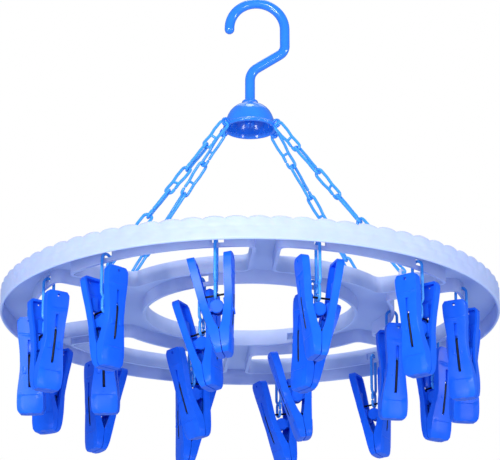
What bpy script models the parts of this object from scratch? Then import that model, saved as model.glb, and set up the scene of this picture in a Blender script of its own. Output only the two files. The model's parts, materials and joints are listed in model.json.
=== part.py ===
"""Clip drying hanger: a round plastic frame hung by four chains from a capped swivel hook, with spring clips.

Units are metres and +Z is up. The origin is on the frame's axis, where a rail bears under the hook's crown.
The front of the hanger faces -Y. Angles round the frame are measured from the front, and grow towards +X.
"""

import bpy
import bmesh
from math import asin, cos, pi, radians, sin
from mathutils import Matrix, Vector

MM = 0.001

# Hook: one bent rod. Its points are measured from the top of the cap's collar.
ROD_RADIUS = 3.3 * MM
CROWN_RADIUS = 18.6 * MM
CROWN_CENTRE_X = 4.8 * MM
CROWN_CENTRE_Z = 52.7 * MM
CROWN_END_ANGLE = radians(183.0)
CROWN_STEPS = 16
RETAINER_STEPS = 16
STEM_MM = (
    (0.0, -18.5), (0.0, 8.4), (0.6, 14.5), (2.0, 19.8),
    (5.6, 24.6), (18.0, 32.8), (21.8, 36.6), (23.4, 42.0),
)
RETAINER_RADIUS = 5.6 * MM
RETAINER_THICKNESS = 2.0 * MM
RETAINER_HEIGHT = -10.9 * MM

# Heights above the frame's lower lip, and that lip's own height below the rail's bearing point.
CAP_RIM_HEIGHT = 131.0 * MM
COLLAR_HEIGHT = 20.5 * MM
COLLAR_TOP_Z = ROD_RADIUS - CROWN_RADIUS - CROWN_CENTRE_Z
CAP_RIM_Z = COLLAR_TOP_Z - COLLAR_HEIGHT
FRAME_BASE_Z = CAP_RIM_Z - CAP_RIM_HEIGHT

# Frame: an outer channel, an inner channel and six spokes, all open underneath.
FRAME_RADIUS = 160.0 * MM
BAND_HEIGHT = 14.6 * MM
PLATE_TOP = 13.0 * MM
PLATE_UNDERSIDE = 11.0 * MM
WINDOW_CUT_HEIGHT = 40.0 * MM
WALL_BOTTOM = 2.5 * MM
WALL = 2.0 * MM
WINDOW_OUTER_RADIUS = 137.6 * MM
WINDOW_INNER_RADIUS = 92.8 * MM
CENTRE_HOLE_RADIUS = 67.2 * MM
SPOKE_COUNT = 6
SPOKE_HALF_WIDTH = 8.4 * MM
WINDOW_CHAMFER = 4.5 * MM
RING_STEPS = 72
# The troughs under the spokes run a little past the windows' walls, into both channels.
TROUGH_REACH = 1.5 * MM
TROUGH_STEP = 0.2 * MM
BELOW_FRAME = -5.0 * MM

# Hanging holes in the frame's walls, and the snap link that hangs from each.
HOLE_RADIUS = 2.4 * MM
HOLE_HEIGHT = 7.2 * MM
LINK_DROP = 34.5 * MM

# Clips on the outer channel: angle from the front on either side, in degrees.
OUTER_ANGLES = (12.5, 42.5, 68.0, 92.0, 113.0, 138.0, 167.5)
INNER_ANGLES = (30.0, 90.0, 150.0)
# The side clips of the inner ring hang in the windows, the others in the centre hole.
CENTRE_WALL_RADIUS = CENTRE_HOLE_RADIUS + WALL / 2
WINDOW_WALL_RADIUS = WINDOW_INNER_RADIUS - WALL / 2
INNER_WALL_RADII = (CENTRE_WALL_RADIUS, WINDOW_WALL_RADIUS, CENTRE_WALL_RADIUS)

# Each clip's rest pose: sideways lean of its jaws and turn about its link, in degrees.
OUTER_LEANS_RIGHT = (-2.0, 0.0, 2.0, 3.0, 0.0, -6.0, -10.0)
OUTER_LEANS_LEFT = (8.0, 5.0, 0.0, -3.0, 4.0, 6.0, 8.0)
INNER_LEANS_RIGHT = (-11.0, 4.0, -10.0)
INNER_LEANS_LEFT = (11.0, -4.0, -9.0)
OUTER_TURNS_RIGHT = (0.0, 4.0, -8.0, 6.0, 10.0, 12.0, 32.0)
OUTER_TURNS_LEFT = (0.0, -6.0, 8.0, -8.0, -12.0, -14.0, 4.0)
INNER_TURNS_RIGHT = (0.0, 8.0, 34.0)
INNER_TURNS_LEFT = (0.0, -10.0, 4.0)

# Clip half, measured from the pivot: Z up the handle, X outwards, Y across its width.
WIRE_HEIGHT = 7.4 * MM
PIVOT_RADIUS = 4.3 * MM
PIVOT_LENGTH = 9.0 * MM
PIVOT_STEPS = 14

# Stock that a half is cut from: longer than the half is wide and deep.
CLIP_SIDE_STOCK = 20.0 * MM
CLIP_FACE_STOCK = 60.0 * MM
WEB_LOW_MM = (-7.0, -4.1, -2.6)
WEB_HIGH_MM = (-1.0, 4.1, 2.6)
SIDE_OUTLINE_MM = (
    (9.0, 31.0), (5.4, 2.0), (1.8, -12.0), (0.2, -14.0), (0.2, -29.0),
    (4.4, -29.0), (5.6, -24.0), (7.6, -12.0), (10.6, 2.0), (14.0, 29.6), (13.6, 31.0),
)
FACE_HALF_OUTLINE_MM = (
    (6.4, 31.0), (7.6, 29.4), (7.6, 22.0), (6.2, 8.0), (6.3, -2.0), (8.2, -16.0), (8.4, -27.4), (7.2, -29.0),
)

# Cap: a dome with a collar that the hook's stem passes through.
CAP_RADIUS = 17.4 * MM
CAP_STEPS = 32
CAP_PROFILE_MM = (
    (3.7, 20.5), (5.4, 20.5), (6.4, 17.4), (9.8, 16.2), (13.4, 12.8), (16.1, 7.2), (17.4, 1.6),
    (17.4, 0.0), (15.4, 0.0), (14.3, 6.2), (11.8, 11.0), (8.2, 13.8), (3.7, 14.6),
)
EYELET_RADIUS = 19.0 * MM
EYELET_HALF_WIDTH = 3.0 * MM
EYELET_THICKNESS = 2.4 * MM
EYELET_HEIGHT = 1.5 * MM
EYELET_ROOT = 1.2 * MM

# Chains: six flat-sided snap links each, from an eyelet to a lug on a spoke.
CHAIN_ANGLES = {"front_left": -60.0, "front_right": 60.0, "rear_right": 120.0, "rear_left": -120.0}
CHAIN_ANCHOR_RADIUS = 105.6 * MM
LINKS_PER_CHAIN = 6
LINK_WIDTH = 6.5 * MM
LINK_WIRE = 1.8 * MM
LINK_BITE = 0.3 * MM
LUG_HALF_WIDTH = 3.0 * MM
LUG_HEIGHT = 3.2 * MM
LUG_ROOT = 0.5 * MM
LUG_GAP = 2.0 * MM
EYELET_GAP = 0.8 * MM


def clear_scene():
    for item in list(bpy.data.objects):
        bpy.data.objects.remove(item, do_unlink=True)


def make_collection(name):
    collection = bpy.data.collections.new(name)
    bpy.context.scene.collection.children.link(collection)
    return collection


clear_scene()
PARTS = make_collection("clip_drying_hanger")
CUTTERS = make_collection("cutters")


def make_material(name, colour, roughness):
    material = bpy.data.materials.new(name)
    material.use_nodes = True
    shader = material.node_tree.nodes["Principled BSDF"]
    shader.inputs["Base Color"].default_value = (*colour, 1.0)
    shader.inputs["Roughness"].default_value = roughness
    shader.inputs["Metallic"].default_value = 0.0
    return material


FRAME_PLASTIC = make_material("frame_plastic", (0.55, 0.66, 0.90), 0.30)
HOOK_PLASTIC = make_material("hook_plastic", (0.02, 0.22, 0.90), 0.25)
CHAIN_PLASTIC = make_material("chain_plastic", (0.07, 0.42, 0.95), 0.30)
CLIP_PLASTIC = make_material("clip_plastic", (0.01, 0.09, 0.85), 0.25)


def add_object(name, mesh, collection, material=None):
    item = bpy.data.objects.new(name, mesh)
    collection.objects.link(item)
    if material is not None and not mesh.materials:
        mesh.materials.append(material)
    return item


def add_cutter(name, mesh):
    item = add_object(name, mesh, CUTTERS)
    item.hide_render = True
    item.display_type = "WIRE"
    return item


def mesh_from_bmesh(name, work):
    bmesh.ops.recalc_face_normals(work, faces=work.faces)
    mesh = bpy.data.meshes.new(name)
    work.to_mesh(mesh)
    work.free()
    return mesh


def outline_prism(name, loops, thickness):
    """A flat outline in XY, with any inner loops as holes, made into a plate centred on Z = 0."""
    curve = bpy.data.curves.new(name, "CURVE")
    curve.dimensions = "2D"
    curve.fill_mode = "BOTH"
    curve.extrude = thickness / 2
    for loop in loops:
        spline = curve.splines.new("POLY")
        spline.points.add(len(loop) - 1)
        for point, (x, y) in zip(spline.points, loop):
            point.co = (x, y, 0.0, 1.0)
        spline.use_cyclic_u = True
    return curve_to_mesh(name, curve)


def curve_to_mesh(name, curve):
    """The curve's evaluated surface as a closed mesh, with its caps welded."""
    holder = bpy.data.objects.new(name, curve)
    CUTTERS.objects.link(holder)
    bpy.context.view_layer.update()
    evaluated = holder.evaluated_get(bpy.context.evaluated_depsgraph_get())
    mesh = bpy.data.meshes.new_from_object(evaluated)
    bpy.data.objects.remove(holder, do_unlink=True)
    work = bmesh.new()
    work.from_mesh(mesh)
    bpy.data.meshes.remove(mesh)
    bmesh.ops.remove_doubles(work, verts=work.verts, dist=0.01 * MM)
    return mesh_from_bmesh(name, work)


def turned_mesh(name, profile, steps):
    """A closed profile of (radius, height) points, turned about Z by a Screw modifier."""
    mesh = bpy.data.meshes.new(name)
    points = [(radius, 0.0, height) for radius, height in profile]
    edges = [(i, (i + 1) % len(points)) for i in range(len(points))]
    mesh.from_pydata(points, edges, [])
    holder = bpy.data.objects.new(name, mesh)
    CUTTERS.objects.link(holder)
    screw = holder.modifiers.new("Screw", "SCREW")
    screw.steps = steps
    screw.render_steps = steps
    screw.use_merge_vertices = True
    screw.merge_threshold = 0.00001
    bpy.context.view_layer.update()
    evaluated = holder.evaluated_get(bpy.context.evaluated_depsgraph_get())
    turned = bpy.data.meshes.new_from_object(evaluated)
    bpy.data.objects.remove(holder, do_unlink=True)
    work = bmesh.new()
    work.from_mesh(turned)
    bpy.data.meshes.remove(turned)
    return mesh_from_bmesh(name, work)


def joined_mesh(name, meshes_and_places):
    """Several meshes in one, each with its own placing matrix."""
    work = bmesh.new()
    for mesh, place in meshes_and_places:
        piece = mesh.copy()
        piece.transform(place)
        work.from_mesh(piece)
        bpy.data.meshes.remove(piece)
    return mesh_from_bmesh(name, work)


def combine(target, tool_mesh, operation):
    """One Boolean step, applied, so that the target holds a plain mesh."""
    tool = add_cutter(target.name + "_tool", tool_mesh)
    modifier = target.modifiers.new("Boolean", "BOOLEAN")
    modifier.operation = operation
    modifier.solver = "EXACT"
    modifier.object = tool
    bpy.context.view_layer.update()
    evaluated = target.evaluated_get(bpy.context.evaluated_depsgraph_get())
    result = bpy.data.meshes.new_from_object(evaluated)
    target.modifiers.clear()
    target.data = result
    bpy.data.objects.remove(tool, do_unlink=True)


def cuboid(name, low, high):
    work = bmesh.new()
    bmesh.ops.create_cube(work, size=1.0)
    size = [high[i] - low[i] for i in range(3)]
    centre = [(high[i] + low[i]) / 2 for i in range(3)]
    bmesh.ops.scale(work, vec=size, verts=work.verts)
    bmesh.ops.translate(work, vec=centre, verts=work.verts)
    return mesh_from_bmesh(name, work)


def rod_along_y(name, radius, length, segments):
    work = bmesh.new()
    turn = Matrix.Rotation(pi / 2, 4, "X")
    bmesh.ops.create_cone(
        work, cap_ends=True, segments=segments, radius1=radius, radius2=radius, depth=length, matrix=turn
    )
    return mesh_from_bmesh(name, work)


def shade_round(item, angle=35.0):
    item.data.shade_smooth()
    item.data.set_sharp_from_angle(angle=radians(angle))


def facing(angle_deg):
    """Turns local X to the tangent and local Y to the inward direction at an angle round the frame."""
    return Matrix.Rotation(radians(angle_deg), 4, "Z")


def at_angle(angle_deg, radius, height):
    angle = radians(angle_deg)
    return Matrix.Translation((radius * sin(angle), -radius * cos(angle), height)) @ facing(angle_deg)


def polar(angle, radius):
    return (radius * sin(angle), -radius * cos(angle))


def window_outline():
    """One window between two spokes, centred on the front, with chamfered corners."""
    half_sector = pi / SPOKE_COUNT
    outline = []
    for radius, inward, count in ((WINDOW_OUTER_RADIUS, -1.0, 8), (WINDOW_INNER_RADIUS, 1.0, 6)):
        half = half_sector - asin(SPOKE_HALF_WIDTH / radius)
        chamfer = WINDOW_CHAMFER / radius
        side_radius = radius + inward * WINDOW_CHAMFER
        side_half = half_sector - asin(SPOKE_HALF_WIDTH / side_radius)
        arc = [polar(-side_half, side_radius)]
        for step in range(count + 1):
            angle = (half - chamfer) * (2.0 * step / count - 1.0)
            arc.append(polar(angle, radius))
        arc.append(polar(side_half, side_radius))
        outline += arc if inward < 0 else arc[::-1]
    return outline


def channel_cutter(name, inner_radius, outer_radius):
    corners = (
        (inner_radius, PLATE_UNDERSIDE),
        (outer_radius, PLATE_UNDERSIDE),
        (outer_radius, BELOW_FRAME),
        (inner_radius, BELOW_FRAME),
    )
    return turned_mesh(name, corners, RING_STEPS)


def clip_stations():
    """Every clip's angle, wall radius, lean and turn, in order round each ring from the front left."""
    stations = []
    outer_radius = WINDOW_OUTER_RADIUS + WALL / 2
    outer_radii = (outer_radius,) * len(OUTER_ANGLES)
    outer_sides = ((OUTER_LEANS_LEFT, OUTER_TURNS_LEFT), (OUTER_LEANS_RIGHT, OUTER_TURNS_RIGHT))
    inner_sides = ((INNER_LEANS_LEFT, INNER_TURNS_LEFT), (INNER_LEANS_RIGHT, INNER_TURNS_RIGHT))
    rings = (
        (OUTER_ANGLES, outer_radii, *outer_sides),
        (INNER_ANGLES, INNER_WALL_RADII, *inner_sides),
    )
    for angles, radii, left, right in rings:
        for side, (leans, turns) in ((-1.0, left), (1.0, right)):
            for angle, radius, lean, turn in zip(angles, radii, leans, turns):
                stations.append((side * angle, radius, lean, turn))
    return stations


def build_frame():
    inner = CENTRE_HOLE_RADIUS
    outer = FRAME_RADIUS
    profile = (
        (inner, PLATE_TOP), (outer - WALL, PLATE_TOP), (outer - WALL, BAND_HEIGHT), (outer, BAND_HEIGHT),
        (outer, 0.0), (outer - WALL, 0.0), (outer - WALL, WALL_BOTTOM), (inner, WALL_BOTTOM),
    )
    frame = add_object("ring_frame", turned_mesh("ring_frame", profile, RING_STEPS), PARTS, FRAME_PLASTIC)
    window = outline_prism("window", [window_outline()], WINDOW_CUT_HEIGHT)
    sector = 360.0 / SPOKE_COUNT
    windows = [(window, facing(sector * (index + 0.5))) for index in range(SPOKE_COUNT)]
    combine(frame, joined_mesh("windows", windows), "DIFFERENCE")
    combine(frame, channel_cutter("outer_channel", WINDOW_OUTER_RADIUS + WALL, outer - WALL), "DIFFERENCE")
    combine(frame, channel_cutter("inner_channel", inner + WALL, WINDOW_INNER_RADIUS - WALL), "DIFFERENCE")
    half = SPOKE_HALF_WIDTH - WALL
    trough = cuboid(
        "trough",
        (-half, -(WINDOW_OUTER_RADIUS + WALL + TROUGH_REACH), BELOW_FRAME),
        (half, -(WINDOW_INNER_RADIUS - WALL - TROUGH_REACH), PLATE_UNDERSIDE - TROUGH_STEP),
    )
    troughs = [(trough, facing(sector * index)) for index in range(SPOKE_COUNT)]
    combine(frame, joined_mesh("troughs", troughs), "DIFFERENCE")
    hole = rod_along_y("hole", HOLE_RADIUS, 3.0 * WALL, 8)
    holes = [(hole, at_angle(angle, radius, HOLE_HEIGHT)) for angle, radius, _, _ in clip_stations()]
    combine(frame, joined_mesh("holes", holes), "DIFFERENCE")
    lug = lug_mesh()
    lugs = [(lug, at_angle(angle, CHAIN_ANCHOR_RADIUS, PLATE_TOP)) for angle in CHAIN_ANGLES.values()]
    combine(frame, joined_mesh("lugs", lugs), "UNION")
    frame.data.transform(Matrix.Translation((0.0, 0.0, FRAME_BASE_Z)))
    if not frame.data.materials:
        frame.data.materials.append(FRAME_PLASTIC)
    shade_round(frame, 20.0)


def lug_mesh():
    """A small block on a spoke, which the chain's last link closes round."""
    half_depth = LINK_WIRE / 2
    return cuboid(
        "lug",
        (-LUG_HALF_WIDTH, -half_depth, -LUG_ROOT),
        (LUG_HALF_WIDTH, half_depth, LUG_HEIGHT),
    )


def build_cap():
    profile = [(radius * MM, height * MM) for radius, height in CAP_PROFILE_MM]
    cap = add_object("cap", turned_mesh("cap", profile, CAP_STEPS), PARTS, HOOK_PLASTIC)
    tab = cuboid(
        "tab",
        (-EYELET_THICKNESS / 2, -(EYELET_RADIUS + EYELET_HALF_WIDTH), EYELET_HEIGHT - EYELET_HALF_WIDTH),
        (EYELET_THICKNESS / 2, -(CAP_RADIUS - EYELET_ROOT), EYELET_HEIGHT + EYELET_HALF_WIDTH),
    )
    tabs = [(tab, facing(angle)) for angle in CHAIN_ANGLES.values()]
    combine(cap, joined_mesh("tabs", tabs), "UNION")
    cap.data.transform(Matrix.Translation((0.0, 0.0, CAP_RIM_Z)))
    if not cap.data.materials:
        cap.data.materials.append(HOOK_PLASTIC)
    shade_round(cap)


def link_outline(length, width, wire):
    """A long flat link: an outer and an inner loop with round ends."""
    loops = []
    for inset in (0.0, wire):
        radius = width / 2 - inset
        reach = length / 2 - width / 2
        loop = []
        for end in (1.0, -1.0):
            for step in range(5):
                angle = pi / 2 * (1.0 - end) - pi / 2 + pi * step / 4
                loop.append((end * reach + radius * cos(angle), radius * sin(angle)))
        loops.append(loop)
    return loops


def chain_ends():
    """Where a chain starts, under its eyelet, and where it ends, on its lug: (radius, height) pairs."""
    start = (EYELET_RADIUS + EYELET_HALF_WIDTH + EYELET_GAP, CAP_RIM_Z - EYELET_HALF_WIDTH)
    end = (CHAIN_ANCHOR_RADIUS, FRAME_BASE_Z + PLATE_TOP + LUG_HEIGHT + LUG_GAP)
    return start, end


def build_chains():
    start, end = chain_ends()
    span = Vector((0.0, end[0] - start[0], end[1] - start[1]))
    pitch_to_length = 2.0 * LINK_WIRE - LINK_BITE
    length = (span.length + (LINKS_PER_CHAIN - 1) * pitch_to_length) / LINKS_PER_CHAIN
    pitch = length - pitch_to_length
    link = outline_prism("link", link_outline(length, LINK_WIDTH, LINK_WIRE), LINK_WIRE)
    first = add_object("chain_links", link.copy(), CUTTERS)
    for index in range(1, LINKS_PER_CHAIN):
        turn = Matrix.Rotation(pi / 2 * (index % 2), 4, "X")
        placed = link.copy()
        placed.transform(Matrix.Translation((index * pitch, 0.0, 0.0)) @ turn)
        combine(first, placed, "UNION")
    chain_mesh = first.data
    chain_mesh.transform(Matrix.Translation((length / 2, 0.0, 0.0)))
    bpy.data.objects.remove(first, do_unlink=True)
    chain_mesh.materials.clear()
    chain_mesh.materials.append(CHAIN_PLASTIC)
    along = Vector((0.0, -span.y, span.z)).normalized()
    across = Vector((1.0, 0.0, 0.0))
    third = along.cross(across)
    lie = Matrix((along, third, -across)).transposed().to_4x4()
    for name, angle in CHAIN_ANGLES.items():
        chain = add_object("chain_" + name, chain_mesh, PARTS)
        chain.matrix_world = facing(angle) @ Matrix.Translation((0.0, -start[0], start[1])) @ lie


def build_hook():
    route = [(x * MM, z * MM) for x, z in STEM_MM]
    for step in range(CROWN_STEPS + 1):
        angle = CROWN_END_ANGLE * step / CROWN_STEPS
        route.append((CROWN_CENTRE_X + CROWN_RADIUS * cos(angle), CROWN_CENTRE_Z + CROWN_RADIUS * sin(angle)))
    curve = bpy.data.curves.new("hook", "CURVE")
    curve.dimensions = "3D"
    curve.bevel_depth = ROD_RADIUS
    curve.bevel_resolution = 2
    curve.use_fill_caps = True
    spline = curve.splines.new("POLY")
    spline.points.add(len(route) - 1)
    for point, (x, z) in zip(spline.points, route):
        point.co = (x, 0.0, COLLAR_TOP_Z + z, 1.0)
    hook = add_object("hook", curve_to_mesh("hook", curve), PARTS, HOOK_PLASTIC)
    retainer = bmesh.new()
    retainer_middle = COLLAR_TOP_Z + RETAINER_HEIGHT + RETAINER_THICKNESS / 2
    bmesh.ops.create_cone(
        retainer,
        cap_ends=True,
        segments=RETAINER_STEPS,
        radius1=RETAINER_RADIUS,
        radius2=RETAINER_RADIUS,
        depth=RETAINER_THICKNESS,
        matrix=Matrix.Translation((0.0, 0.0, retainer_middle)),
    )
    combine(hook, mesh_from_bmesh("retainer", retainer), "UNION")
    if not hook.data.materials:
        hook.data.materials.append(HOOK_PLASTIC)
    shade_round(hook)


def clip_half_mesh(name):
    """One clip half on the +X side: its side profile kept inside its hourglass face."""
    side = [(x * MM, z * MM) for x, z in SIDE_OUTLINE_MM]
    profile = outline_prism(name, [side], CLIP_SIDE_STOCK)
    profile.transform(Matrix.Rotation(pi / 2, 4, "X"))
    half = add_object(name, profile, CUTTERS)
    right = [(y * MM, z * MM) for y, z in FACE_HALF_OUTLINE_MM]
    left = [(-y, z) for y, z in reversed(right)]
    face = outline_prism(name + "_face", [right + left], CLIP_FACE_STOCK)
    face.transform(Matrix.Rotation(pi / 2, 4, "Z") @ Matrix.Rotation(pi / 2, 4, "X"))
    combine(half, face, "INTERSECT")
    return half


def build_clips():
    moving = clip_half_mesh("moving_half")
    fixed = clip_half_mesh("fixed_half")
    fixed.data.transform(Matrix.Rotation(pi, 4, "Z"))
    combine(fixed, rod_along_y("pivot", PIVOT_RADIUS, PIVOT_LENGTH, PIVOT_STEPS), "UNION")
    web_corners = [[value * MM for value in corner] for corner in (WEB_LOW_MM, WEB_HIGH_MM)]
    combine(fixed, cuboid("web", *web_corners), "UNION")
    meshes = {"moving_half": moving.data, "fixed_half": fixed.data}
    for mesh in meshes.values():
        mesh.materials.clear()
        mesh.materials.append(CLIP_PLASTIC)
        mesh.shade_flat()
    bpy.data.objects.remove(moving, do_unlink=True)
    bpy.data.objects.remove(fixed, do_unlink=True)
    wire_z = FRAME_BASE_Z + HOLE_HEIGHT - LINK_DROP
    for number, (angle, radius, lean, turn) in enumerate(clip_stations(), start=1):
        hang = at_angle(angle, radius, wire_z) @ Matrix.Rotation(radians(turn), 4, "Z")
        pivot = hang @ Matrix.Rotation(-radians(lean), 4, "Y") @ Matrix.Translation((0.0, 0.0, -WIRE_HEIGHT))
        for kind, mesh in meshes.items():
            item = add_object("clip_%02d_%s" % (number, kind), mesh, PARTS)
            item.matrix_world = pivot


build_frame()
build_cap()
build_chains()
build_hook()
build_clips()
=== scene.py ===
"""Clip drying hanger: the looks of a round plastic hanger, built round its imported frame.

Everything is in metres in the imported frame, with +Z up. The origin is where a rail bears under the
hook's crown. Angles round the frame are measured from the front, -Y, and grow towards +X.
"""

import json
from math import atan2, ceil, cos, exp, pi, radians, sin, tan

import bmesh
import bpy
from mathutils import Matrix, Vector


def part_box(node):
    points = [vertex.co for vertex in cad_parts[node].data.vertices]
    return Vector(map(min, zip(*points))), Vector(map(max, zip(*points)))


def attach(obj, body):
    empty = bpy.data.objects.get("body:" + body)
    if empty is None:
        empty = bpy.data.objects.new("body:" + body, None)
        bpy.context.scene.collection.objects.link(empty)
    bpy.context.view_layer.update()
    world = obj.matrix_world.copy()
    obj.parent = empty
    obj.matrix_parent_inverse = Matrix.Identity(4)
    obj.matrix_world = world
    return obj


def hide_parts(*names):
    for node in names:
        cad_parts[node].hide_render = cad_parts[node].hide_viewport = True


bl_info = {
    "name": "Clip drying hanger",
    "version": (1, 0, 0),
    "blender": (4, 5, 0),
    "location": "View3D > Sidebar > Hanger",
    "description": "Builds the moulded, wire and chain pieces of a round clip drying hanger",
    "category": "Object",
}

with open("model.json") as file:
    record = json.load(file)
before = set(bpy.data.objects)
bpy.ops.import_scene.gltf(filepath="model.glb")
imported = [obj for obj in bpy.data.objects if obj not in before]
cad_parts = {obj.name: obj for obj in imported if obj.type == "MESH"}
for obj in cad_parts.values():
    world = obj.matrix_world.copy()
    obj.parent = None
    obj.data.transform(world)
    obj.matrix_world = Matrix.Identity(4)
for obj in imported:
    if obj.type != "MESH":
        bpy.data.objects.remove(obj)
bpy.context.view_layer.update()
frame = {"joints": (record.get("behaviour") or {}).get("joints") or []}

MM = 0.001
FRAME_BODY = "frame"
HOOK_BODY = "hook"

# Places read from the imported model.
FRAME_LOW, FRAME_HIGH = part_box("ring_frame")
CAP_LOW, CAP_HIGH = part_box("cap")
JOINTS = {joint["name"]: joint for joint in frame["joints"]}
LIP_Z = FRAME_LOW.z
FRAME_RADIUS = FRAME_HIGH.x
EYELET_DROP = 1.5 * MM
CAP_RIM_Z = CAP_LOW.z + EYELET_DROP
COLLAR_TOP_Z = CAP_HIGH.z
CLIP_COUNT = sum(name.endswith("_squeeze") for name in JOINTS)

# Frame, as in the solid model: heights above its lower lip, and radii.
BAND_HEIGHT = 14.6 * MM
PLATE_TOP = 13.0 * MM
WALL_BOTTOM = 2.5 * MM
WALL = 2.0 * MM
WINDOW_OUTER_RADIUS = 137.6 * MM
WINDOW_INNER_RADIUS = 92.8 * MM
CENTRE_HOLE_RADIUS = 67.2 * MM
SPOKE_COUNT = 6
SPOKE_HALF_WIDTH = 8.4 * MM
HALF_SECTOR = pi / SPOKE_COUNT
BAND_INNER_RADIUS = FRAME_RADIUS - WALL
SLOT_OFFSET = 1.2 * MM
STAPLE_HALF_WIDTH = 2.9 * MM
STAPLE_HEIGHT = 5.0 * MM
STAPLE_ROOT = 1.0 * MM
STAPLE_BEND = 2.2 * MM

# The band's relief, as shares of its height: where each row of shells starts and is full, and the crease.
SCALLOP_FROM = 0.45
LOWER_SHELLS = (0.26, 0.36)
UPPER_SHELLS = (0.52, 0.66)
CREASE_AT = 0.58
CREASE_REACH = 0.07
CREASE_DEPTH = 0.35

# Chains, as in the solid model.
CHAIN_ANGLES = {"front_left": -60.0, "front_right": 60.0, "rear_right": 120.0, "rear_left": -120.0}
CHAIN_ROLLS = {"front_left": 36.0, "front_right": 17.0, "rear_right": 67.0, "rear_left": 30.0}
CHAIN_ANCHOR_RADIUS = 105.6 * MM
LINKS_PER_CHAIN = 6
EYELET_CENTRE_RADIUS = 19.2 * MM
EYELET_HALF_WIDTH = 2.3 * MM
FITTING_ROD = 1.0 * MM

# A chain link's proportions: its small loop's share of the length, the rest as shares of its half width,
# and where its shoulder is on the way to its crossbar.
SMALL_LOOP_SHARE = 0.40
SMALL_LOOP_WIDTH = 0.86
WAIST_WIDTH = 0.78
SHOULDER_AT = 0.62
ROLL_STEP = 11.0

# Hook, as in the solid model: measured from the top of the cap's collar.
ROD_RADIUS = 3.3 * MM
CROWN_RADIUS = 18.6 * MM
CROWN_CENTRE_X = 4.8 * MM
CROWN_CENTRE_Z = 52.7 * MM
STEM_START = -15.6 * MM
STEM_SPLIT_TOP = -13.0 * MM
STEM_SPLIT_WIDTH = 1.3 * MM
STEM_TOP = 20.8 * MM
STEM_BEND = 11.0 * MM
SHOULDER_Z = 36.4 * MM
SHOULDER_BEND = 8.0 * MM
TIP_BELOW_CENTRE = 1.0 * MM
RETAINER_RADIUS = 5.5 * MM
RETAINER_LOW = -11.2 * MM
RETAINER_HIGH = -8.6 * MM
RETAINER_EDGE = 0.5 * MM

# Clip, as in the solid model: measured from the pivot of its halves.
LINK_DROP = 34.5 * MM
WIRE_HEIGHT = 7.4 * MM
SPRING_INSET = 0.7 * MM
SPRING_BEND = 1.6 * MM

# A clip's snap link: its top above the hole's middle, its two loops' half widths, and heights above its foot.
LINK_TOP = 0.5 * MM
LONG_LOOP_HALF = 3.5 * MM
SMALL_LOOP_HALF = 2.5 * MM
LINK_JOINT = 9.6 * MM
LINK_GAP_LOW = 3.4 * MM
LINK_GAP_HIGH = 5.4 * MM

# Edges that turn by more than this look sharp.
SHARP_DEGREES = 38.0


def linear(hex_colour):
    """An sRGB hex colour as linear red, green and blue."""
    values = [int(hex_colour[i : i + 2], 16) / 255.0 for i in (0, 2, 4)]
    return tuple(v / 12.92 if v <= 0.04045 else ((v + 0.055) / 1.055) ** 2.4 for v in values)


def length_prop(name, description, size_mm):
    """A size that a user can change."""
    return bpy.props.FloatProperty(name=name, description=description, default=size_mm * MM, unit="LENGTH")


def colour_prop(name, description, hex_colour):
    """A colour that a user can change."""
    return bpy.props.FloatVectorProperty(
        name=name, description=description, default=linear(hex_colour), subtype="COLOR"
    )


class HangerSizes(bpy.types.PropertyGroup):
    scallop_count: bpy.props.IntProperty(
        name="Scallops", description="Shells round the band's top edge", default=76, min=12
    )
    scallop_depth: length_prop("Scallop depth", "Drop of the top edge between two shells", 1.5)
    relief_depth: length_prop("Relief depth", "Depth of the shell relief on the band", 0.28)
    window_fillet: length_prop("Window fillet", "Radius of the windows' corners", 6.0)
    edge_round: length_prop("Edge round", "Rounding of the frame's upper edges", 1.5)
    slot_width: length_prop("Hanging slot width", "Width of the slot that a link hangs in", 7.2)
    slot_height: length_prop("Hanging slot height", "Height of that slot", 4.4)
    chain_wire: length_prop("Chain wire", "Thickness of a chain link", 2.0)
    chain_width: length_prop("Chain width", "Width of a chain link", 7.6)
    link_wire: length_prop("Link wire", "Thickness of a clip's snap link", 1.9)
    spring_wire: length_prop("Spring wire", "Thickness of a clip's spring wire", 1.3)
    plate_thickness: length_prop("Clip wall", "Wall thickness of a clip half", 1.5)


class HangerColours(bpy.types.PropertyGroup):
    frame_top: colour_prop("Frame", "Frame plastic", "C8D2EE")
    # Painted shade: the frame turns to this bluer colour where it faces down, standing in for the blue shade
    # on its undersides.
    frame_painted_shade: colour_prop("Frame underside", "Frame plastic where it faces down", "C6D6F6")
    clip: colour_prop("Clip", "Clip plastic", "186BF4")
    hook: colour_prop("Hook", "Hook and cap plastic", "2886F8")
    chain: colour_prop("Chain", "Chain and link plastic", "45A6FC")
    spring: colour_prop("Spring", "Blackened spring wire", "14151A")
    floor: colour_prop("Floor", "Studio floor", "F2F4F8")


# Materials


def add_node(tree, kind, settings=None, inputs=None):
    """Adds a node, sets its properties, and sets or links its inputs."""
    node = tree.nodes.new(kind)
    for name, value in (settings or {}).items():
        setattr(node, name, value)
    for name, value in (inputs or {}).items():
        if isinstance(value, bpy.types.NodeSocket):
            tree.links.new(value, node.inputs[name])
        else:
            node.inputs[name].default_value = value
    return node


def per_metre(size_mm):
    """The scale of a noise whose features are this many millimetres across."""
    return 1.0 / (size_mm * MM)


def new_material(name):
    """An empty material, its tree, and the socket of places on the object."""
    material = bpy.data.materials.new(name)
    material.use_nodes = True
    tree = material.node_tree
    tree.nodes.clear()
    return material, tree, add_node(tree, "ShaderNodeTexCoord").outputs["Object"]


def surfaced(material, inputs):
    """The material, with a surface of these inputs."""
    tree = material.node_tree
    shader = add_node(tree, "ShaderNodeBsdfPrincipled", inputs=inputs)
    add_node(tree, "ShaderNodeOutputMaterial", inputs={"Surface": shader.outputs["BSDF"]})
    return material


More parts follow.
